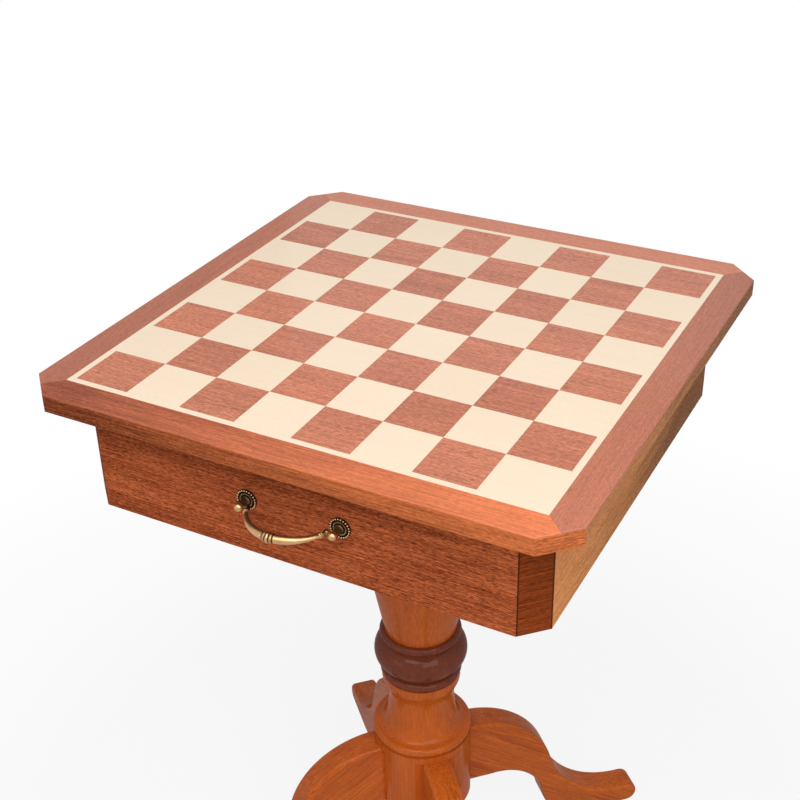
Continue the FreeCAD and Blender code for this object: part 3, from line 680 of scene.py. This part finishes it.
class CHESSTABLE_OT_apron(bpy.types.Operator):
    """Finishes the apron's panels and the carcass inside it"""

    bl_idname = "chesstable.apron"
    bl_label = "Apron"

    # How each panel's tone deepens along its grain, per metre, its shade at the middle and its figure; the
    # steep deepening along the right panel is painted light, pale at its lit front end and deep towards the
    # back
    panel_light_and_tones = {"right": (3.1, 0.24, 0.5), "back": (0.5, 0.0, 1.0), "left": (-0.5, 0.0, 0.5)}

    def execute(self, context):
        for i, side in enumerate(SIDES[1:], 1):
            wood = "front" if side == "back" else "side"
            name = "apron_" + side
            reach = self.half_face(name, -90 * i)
            fade, shade, figure = self.panel_light_and_tones[side]
            tones = {"shade": shade, "fade": fade, "figure": figure, "pores": 0.35, "seam": reach}
            panel = timber(name, wood, SATIN, (0, 0, -90 * i), cut_along(PANEL_CUT, i), **tones)
            dress_boards(panel, name)
        for corner, angle in CORNERS.items():
            name = "corner_panel_" + corner
            turn = -angle - 90
            seam = self.half_face(name, turn)
            cut = cut_along(CORNER_CUT, angle)
            dress_boards(timber(name, "corner", SATIN, (0, 0, turn), cut, seam=seam), name)
        inner = timber("carcass", "inner", BARE, FORWARD, **INNER_GRAIN)
        dress_boards(inner, "top_batten_left", "top_batten_right", "runner_left", "runner_right")
        across = timber("carcass across", "inner", BARE, SIDEWAYS, **INNER_GRAIN)
        dress_boards(across, "top_batten_back", "drawer_stops")
        dress("bottom_board", timber("bottom board", "front", BARE))
        return {"FINISHED"}

    def half_face(self, panel, turn):
        """Half the width of a panel's outer face, once a turn has brought the face to X."""
        turned = Matrix.Rotation(math.radians(turn), 3, "Z")
        return max(abs((turned @ vert.co).x) for vert in NODES[panel].data.vertices)


class CHESSTABLE_OT_drawer(bpy.types.Operator):
    """Finishes the drawer's front and its box"""

    bl_idname = "chesstable.drawer"
    bl_label = "Drawer"

    def execute(self, context):
        # The drawer front deepens towards its left end: painted shade.
        lively = {"ribbon": 1.3, "pores": 0.75, "shade": 0.04, "fade": -1.0}
        dress_boards(timber("drawer front", "front", SATIN, **lively), "drawer_front")
        side = timber("drawer sides", "inner", BARE, FORWARD, **INNER_GRAIN)
        dress_boards(side, "drawer_side_left", "drawer_side_right")
        end = timber("drawer ends", "inner", BARE, SIDEWAYS, **INNER_GRAIN)
        dress_boards(end, "drawer_box_front", "drawer_back")
        bottom = timber("drawer bottom", "inner", BARE, pores=0.2, figure=0.8)
        dress("drawer_bottom", bottom)
        return {"FINISHED"}


# The raised ring of a rosette as shares of the bead circle, and the reach of its foot in thicknesses
RING_PLACE = 0.66
RING_THICKNESS = 0.13
RING_FOOT = 1.3

# Steps of the rosette's round forms
ROSETTE_STEPS = 72
RIM_STEPS = 4
RING_STEPS = 10
BEAD_DIVISIONS = 2

# How dark a rosette is, how much its ring is rubbed, and how far up the rim the dark goes
DISH_PATINA = 1.15
RING_RUB = 0.6
RIM_PATINA = 1.1
BEAD_PATINA = 0.05
RIM_SHARE = 0.62


class CHESSTABLE_OT_rosettes(bpy.types.Operator):
    """Models the dished rosettes with their beaded rims"""

    bl_idname = "chesstable.rosettes"
    bl_label = "Rosettes"

    def execute(self, context):
        metals = metal_settings()
        for hand in HANDS:
            low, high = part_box("rosette_" + hand)
            radius = (high.x - low.x) / 2
            rim = high.y - low.y
            foot = Vector(((low.x + high.x) / 2, high.y, (low.z + high.z) / 2))
            bead_ring = radius - metals.bead
            dish = bead_ring - metals.bead
            ring = RING_PLACE * bead_ring
            thick = RING_THICKNESS * bead_ring
            ring_foot = RING_FOOT * thick
            profile = [(metals.pin, 0), (radius, 0), (radius, rim / 3)]
            profile += arc_points((radius - rim / 6, rim / 3), rim / 6, 0, 90, RIM_STEPS)
            profile += [(dish, rim / 2), (ring + ring_foot, rim / 4)]
            profile += arc_points((ring, rim / 3), thick, 0, 180, RING_STEPS)
            profile += [(ring - ring_foot, rim / 4), (metals.post, rim / 2), (metals.pin, rim / 2)]
            form = bmesh.new()
            lathe(form, profile, foot, (0, -1, 0), ROSETTE_STEPS)
            for i in range(metals.beads):
                angle = 2 * math.pi * i / metals.beads
                offset = Vector((math.cos(angle) * bead_ring, -rim / 2, math.sin(angle) * bead_ring))
                spot = Matrix.Translation(foot + offset)
                bmesh.ops.create_icosphere(form, subdivisions=BEAD_DIVISIONS, radius=metals.bead, matrix=spot)

            def darkness(point):
                reach = (point - foot).xz.length
                height = foot.y - point.y
                if reach < dish:
                    return DISH_PATINA - RING_RUB * max(0, 1 - abs(reach - ring) / thick)
                return RIM_PATINA if height < rim * RIM_SHARE else BEAD_PATINA

            paint_patina_and_light(form, darkness)
            add_piece("rosette_beaded_" + hand, form, "drawer", brass(), ["rosette_" + hand])
        return {"FINISHED"}


# Heights on a ball post above its seat, and the flare of its foot, in metres
FOOT_STEP = 0.0008
STEM_START = 0.0026
FOOT_FLARE = 0.0004
BALL_STEPS = 14

# How dark a post is, and how much its ball is rubbed
POST_PATINA = 0.8
BALL_RUB = 0.6


class CHESSTABLE_OT_posts(bpy.types.Operator):
    """Models the ball posts that carry the bail"""

    bl_idname = "chesstable.posts"
    bl_label = "Ball posts"

    def execute(self, context):
        metals = metal_settings()
        for hand in HANDS:
            low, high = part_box("handle_post_" + hand)
            rosette_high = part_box("rosette_" + hand)[1]
            face = Vector(((low.x + high.x) / 2, rosette_high.y, (low.z + high.z) / 2))
            seat = face.y - high.y
            meets = math.degrees(math.asin(math.sqrt(1 - (metals.post / metals.ball) ** 2)))
            foot = (high.x - low.x) / 2
            profile = [(0, seat), (foot, seat), (foot, seat + FOOT_STEP)]
            profile += [(metals.post + FOOT_FLARE, seat + 2 * FOOT_STEP), (metals.post, seat + STEM_START)]
            profile += arc_points((0, metals.standoff), metals.ball, -meets, 90, BALL_STEPS)[:-1]
            profile += [(0, metals.standoff + metals.ball)]
            form = bmesh.new()
            lathe(form, profile, face, (0, -1, 0))

            def darkness(point):
                height = face.y - point.y
                rise = (height - metals.standoff + metals.ball) / metals.ball
                return POST_PATINA - BALL_RUB * min(max(rise, 0), 1)

            paint_patina_and_light(form, darkness)
            add_piece("ball_post_" + hand, form, "drawer", brass(), ["handle_post_" + hand])
        return {"FINISHED"}


# Sides of the bail's round forms, and steps along its turned rings, its bow and half a neck ring
BAIL_SIDES = 32
PIN_SIDES = 20
COLLAR_STEPS = (24, 16)
BAIL_RING_STEPS = 8
BOW_STEPS = 40
NECK_STEPS = 6

# How dark the bail is in its grooves and along its bow, how much darker at its ends, and how much brighter it
# is where it faces outward: partly rubbed wear, partly a painted highlight, with painted shade on its inner
# side
GROOVE_PATINA = 1.2
BAIL_PATINA = 0.62
END_PATINA = 0.4
BAIL_RUB_AND_HIGHLIGHT = 0.5

# Where those tones change: in ring widths, as a share of the bow, and by how far outward a point faces
RINGED_WIDTHS = 1.6
END_SHARE = 0.93
RUB_AND_HIGHLIGHT_START = 0.3
RUB_AND_HIGHLIGHT_RANGE = 1.1
LEAST_RADIUS = 1e-6


def bail_joint():
    return next(joint for joint in frame["joints"] if joint["child"] == "bail")


class CHESSTABLE_OT_bail(bpy.types.Operator):
    """Models the swinging bail: a tapering bow with turned rings, end collars and pivot pins"""

    bl_idname = "chesstable.bail"
    bl_label = "Bail"

    def execute(self, context):
        metals = metal_settings()
        low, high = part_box("handle_bail")
        pivot = Vector(bail_joint()["pos_m"])
        ring = (high.z - low.z) / 2
        reach = pivot.y - low.y - ring
        side = metals.collar_place
        bow = (side ** 2 + reach ** 2) / (2 * reach)
        centre = Vector((0, pivot.y - reach + bow, pivot.z))
        half_turn = math.asin(side / bow)
        total = bow * half_turn
        stations = self.stations(total, ring)

        form = bmesh.new()
        start = Matrix.Translation((0, pivot.y - reach, pivot.z)) @ Matrix.Rotation(math.pi / 2, 4, "Y")
        made = bmesh.ops.create_circle(form, segments=BAIL_SIDES, radius=stations[0][1], matrix=start)
        edges = list({edge for vert in made["verts"] for edge in vert.link_edges})
        for (before, old), (along, radius) in zip(stations, stations[1:]):
            made = bmesh.ops.extrude_edge_only(form, edges=edges)["geom"]
            verts = [part for part in made if isinstance(part, bmesh.types.BMVert)]
            edges = [part for part in made if isinstance(part, bmesh.types.BMEdge)]
            turn = Matrix.Rotation((along - before) / bow, 3, "Z")
            bmesh.ops.rotate(form, verts=verts, cent=centre, matrix=turn)
            angle = along / bow
            middle = centre + Vector((math.sin(angle), -math.cos(angle), 0)) * bow
            size = Vector((1, 1, 1)) * (radius / old)
            bmesh.ops.scale(form, verts=verts, vec=size, space=Matrix.Translation(-middle))
        end = Vector((side, pivot.y, pivot.z))
        around, up = COLLAR_STEPS
        spot = Matrix.Translation(end)
        bmesh.ops.create_uvsphere(form, u_segments=around, v_segments=up, radius=metals.collar, matrix=spot)
        pin_length = high.x - side
        pin = Matrix.Translation(end + Vector((pin_length / 2, 0, 0))) @ Matrix.Rotation(math.pi / 2, 4, "Y")
        bmesh.ops.create_cone(
            form,
            cap_ends=True,
            segments=PIN_SIDES,
            radius1=metals.pin,
            radius2=metals.pin,
            depth=pin_length,
            matrix=pin,
        )
        geometry = form.verts[:] + form.edges[:] + form.faces[:]
        bmesh.ops.mirror(form, geom=geometry, axis="X", merge_dist=WELD_REACH)

        def darkness(point):
            angle = math.atan2(abs(point.x), centre.y - point.y)
            along = angle * bow
            outward = (point - centre).xy.length - bow
            radius = math.hypot(outward, point.z - pivot.z)
            if along < RINGED_WIDTHS * metals.ring_width:
                height = (radius - metals.bail_middle) / (ring - metals.bail_middle)
                return GROOVE_PATINA * (1 - min(max(height, 0), 1))
            # Painted highlight and shade, partly wear: the bow is brighter where it faces outward and darker
            # on its inner side.
            facing = outward / max(radius, LEAST_RADIUS)
            rubbed_and_lit = min(max((facing + RUB_AND_HIGHLIGHT_START) / RUB_AND_HIGHLIGHT_RANGE, 0), 1)
            return BAIL_PATINA - BAIL_RUB_AND_HIGHLIGHT * rubbed_and_lit + (END_PATINA if along > END_SHARE * total else 0)

        paint_patina_and_light(form, darkness)
        add_piece("bail_turned", form, "bail", brass(), ["handle_bail"])
        return {"FINISHED"}

    def stations(self, total, ring):
        """Places along half the bow and the radius there: rings, then a taper with two small neck rings."""
        metals = metal_settings()
        half = metals.ring_width / 2
        ends = half + metals.ring_width
        found = []
        for low, high, crest in ((0, half, ring), (half, ends, metals.side_ring)):
            centre = 0 if low == 0 else (half + ends) / 2
            for i in range(BAIL_RING_STEPS + 1):
                along = low + (high - low) * i / BAIL_RING_STEPS
                bulge = math.sqrt(max(0.0, 1 - ((along - centre) / half) ** 2))
                groove = metals.groove if low == 0 or along < centre else metals.bail_middle
                found.append((along, groove + (crest - groove) * bulge))
        necks = [total - metals.neck_place - metals.neck_width * i for i in (0, 1)]
        spots = [ends + (total - ends) * i / BOW_STEPS for i in range(1, BOW_STEPS + 1)]
        fine = metals.neck_width / (2 * NECK_STEPS)
        spots += [neck + fine * i for neck in necks for i in range(-NECK_STEPS, NECK_STEPS + 1)]
        for along in sorted(set(spots)):
            swell = max(0.0, math.cos(along / total * math.pi / 2)) ** metals.swell
            radius = metals.bail_end + (metals.bail_middle - metals.bail_end) * swell
            for neck in necks:
                offset = 2 * abs(along - neck) / metals.neck_width
                radius += (metals.neck_ring - radius) * math.sqrt(max(0.0, 1 - offset ** 2))
            found.append((along, radius))
        return found


class CHESSTABLE_OT_column(bpy.types.Operator):
    """Finishes the turned column and the plate above it"""

    bl_idname = "chesstable.column"
    bl_label = "Column"

    def execute(self, context):
        turned = timber("turned wood", "turned", TURNED, UPRIGHT, pores=0.12, figure=0.6)
        collar = timber("collar wood", "collar", TURNED, UPRIGHT, pores=0.12, figure=0.6)
        dress_turnings(turned, "column_vase", "column_base")
        dress_turnings(collar, "column_collar")
        plate = timber("column plate", "turned", TURNED, pores=0.2)
        dress_boards(plate, "column_plate")
        return {"FINISHED"}


class CHESSTABLE_OT_legs(bpy.types.Operator):
    """Finishes the curved legs and the glides under them"""

    bl_idname = "chesstable.legs"
    bl_label = "Legs"

    # How steeply the grain falls along a leg, in degrees
    slope = 35

    def execute(self, context):
        for corner, angle in CORNERS.items():
            inward = Matrix.Rotation(math.radians(-angle), 3, "Z")
            fall = Matrix.Rotation(math.radians(-self.slope), 3, "Y") @ inward
            turn = [math.degrees(part) for part in fall.to_euler()]
            cut = cut_along(CORNER_CUT, angle)
            leg = timber("leg " + corner, "turned", TURNED, turn, cut, pores=0.2)
            dress_turnings(leg, "leg_" + corner)
        dress("foot_glides", glide_plastic())
        return {"FINISHED"}


class CHESSTABLE_OT_fixings(bpy.types.Operator):
    """Finishes the screws, the tie rod and the steel plate"""

    bl_idname = "chesstable.fixings"
    bl_label = "Fixings"

    def execute(self, context):
        plated = zinc()
        for name in ("top", "stop", "runner", "drawer_front", "pull", "plate", "leg_plate"):
            dress(name + "_screws", plated)
        for node in ("leg_plate", "tie_rod", "tie_nuts", "tie_washers"):
            dress(node, plated)
        return {"FINISHED"}


# Each softbox: where it stands, what it points at and its width, in metres
SOFTBOXES = {
    "overhead": ((0.3, -0.5, 2.5), (0, 0, 0.7), 1.8),
    "front": ((0.1, -1.7, 2.5), (0, 0, 0.6), 1.5),
    "side": ((1.7, -1.4, 1.9), (0.2, 0, 0.6), 1.6),
    "low": ((-1.1, -2.2, 0.9), (0, 0, 0.5), 1.2),
    "back": ((-0.9, 2.4, 1.5), (0, 0, 0.74), 1.4),
}

# The floor's sides and tones, and how white it stays within a share of its shadows' radius
FLOOR_SIDES = 96
PAPER = (0.6, 0.6, 0.6)
WHITE = (1.0, 1.0, 1.0)
SHADOW_CORE = 0.45
SHADOW_WHITE = 0.88


class CHESSTABLE_OT_stage(bpy.types.Operator):
    """Sets up the floor, the soft light and the camera"""

    bl_idname = "chesstable.stage"
    bl_label = "Stage"

    def execute(self, context):
        stage = context.scene.chess_stage
        self.floor(stage)
        self.world(stage)
        for name, (spot, aim, size) in SOFTBOXES.items():
            self.softbox(name + " softbox", spot, aim, size, getattr(stage, name))
        self.camera(stage)
        context.scene.view_settings.view_transform = "Standard"
        return {"FINISHED"}

    def seen(self, tree):
        """One for rays that show the background: straight from the camera, mirrored or through glass."""
        path = shader_node(tree, "ShaderNodeLightPath").outputs
        shown = arithmetic(tree, "MAXIMUM", path["Is Camera Ray"], path["Is Glossy Ray"])
        return arithmetic(tree, "MAXIMUM", shown, path["Is Transmission Ray"])

    def floor(self, stage):
        form = bmesh.new()
        bmesh.ops.create_circle(form, cap_ends=True, segments=FLOOR_SIDES, radius=stage.floor)
        mesh = bpy.data.meshes.new("floor")
        form.to_mesh(mesh)
        form.free()
        floor = bpy.data.objects.new("floor", mesh)
        bpy.context.scene.collection.objects.link(floor)
        material = bpy.data.materials.new("floor")
        material.use_nodes = True
        tree = material.node_tree
        tree.nodes.clear()
        vector = shader_node(tree, "ShaderNodeTexCoord").outputs["Object"]
        distance = shader_node(tree, "ShaderNodeVectorMath", {0: vector}, operation="LENGTH").outputs["Value"]
        fade = spread(tree, distance, SHADOW_CORE * stage.shadow, stage.shadow, SHADOW_WHITE, 1.0)
        fade = arithmetic(tree, "MULTIPLY", fade, self.seen(tree))
        paper = shader_node(tree, "ShaderNodeBsdfDiffuse", {"Color": PAPER}).outputs[0]
        white = shader_node(tree, "ShaderNodeEmission", {"Color": WHITE, "Strength": 1.0}).outputs[0]
        mixed = shader_node(tree, "ShaderNodeMixShader", {0: fade, 1: paper, 2: white}).outputs[0]
        shader_node(tree, "ShaderNodeOutputMaterial", {"Surface": mixed})
        mesh.materials.append(material)

    def world(self, stage):
        world = bpy.data.worlds.new("studio")
        bpy.context.scene.world = world
        world.use_nodes = True
        tree = world.node_tree
        tree.nodes.clear()
        strength = spread(tree, self.seen(tree), 0.0, 1.0, stage.fill, 1.0)
        light = shader_node(tree, "ShaderNodeBackground", {"Color": WHITE, "Strength": strength}).outputs[0]
        shader_node(tree, "ShaderNodeOutputWorld", {"Surface": light})

    def softbox(self, name, spot, aim, size, energy):
        lamp = bpy.data.lights.new(name, "AREA")
        lamp.shape = "SQUARE"
        lamp.size = size
        lamp.energy = energy
        piece = bpy.data.objects.new(name, lamp)
        bpy.context.scene.collection.objects.link(piece)
        piece.location = spot
        piece.rotation_euler = (Vector(aim) - Vector(spot)).to_track_quat("-Z", "Y").to_euler()

    def camera(self, stage):
        data = bpy.data.cameras.new("camera")
        data.sensor_width = SENSOR
        data.lens = stage.focal * SENSOR / PHOTO_SIDE
        data.shift_y = -stage.rise / PHOTO_SIDE
        camera = bpy.data.objects.new("camera", data)
        bpy.context.scene.collection.objects.link(camera)
        look = (Vector(stage.aim) - Vector(stage.eye)).to_track_quat("-Z", "Y")
        turned = look @ Quaternion((0, 0, 1), stage.roll)
        camera.matrix_world = Matrix.Translation(stage.eye) @ turned.to_matrix().to_4x4()
        bpy.context.scene.camera = camera


OPERATORS = (
    CHESSTABLE_OT_board,
    CHESSTABLE_OT_border,
    CHESSTABLE_OT_apron,
    CHESSTABLE_OT_drawer,
    CHESSTABLE_OT_rosettes,
    CHESSTABLE_OT_posts,
    CHESSTABLE_OT_bail,
    CHESSTABLE_OT_column,
    CHESSTABLE_OT_legs,
    CHESSTABLE_OT_fixings,
    CHESSTABLE_OT_stage,
)


class CHESSTABLE_PT_panel(bpy.types.Panel):
    """Lists the steps that dress the table"""

    bl_idname = "CHESSTABLE_PT_panel"
    bl_label = "Chess table"
    bl_space_type = "VIEW_3D"
    bl_region_type = "UI"
    bl_category = "Chess table"

    def draw(self, context):
        for operator in OPERATORS:
            self.layout.operator(operator.bl_idname)


def register():
    add_wood_tones()
    for name, group in SETTINGS:
        bpy.utils.register_class(group)
        setattr(bpy.types.Scene, name, PointerProperty(type=group))
    for part in OPERATORS + (CHESSTABLE_PT_panel,):
        bpy.utils.register_class(part)


def unregister():
    for part in reversed(OPERATORS + (CHESSTABLE_PT_panel,)):
        bpy.utils.unregister_class(part)
    for name, group in reversed(SETTINGS):
        delattr(bpy.types.Scene, name)
        bpy.utils.unregister_class(group)


def main():
    register()
    for operator in OPERATORS:
        area, step = operator.bl_idname.split(".")
        getattr(getattr(bpy.ops, area), step)()


if __name__ == "__main__":
    main()
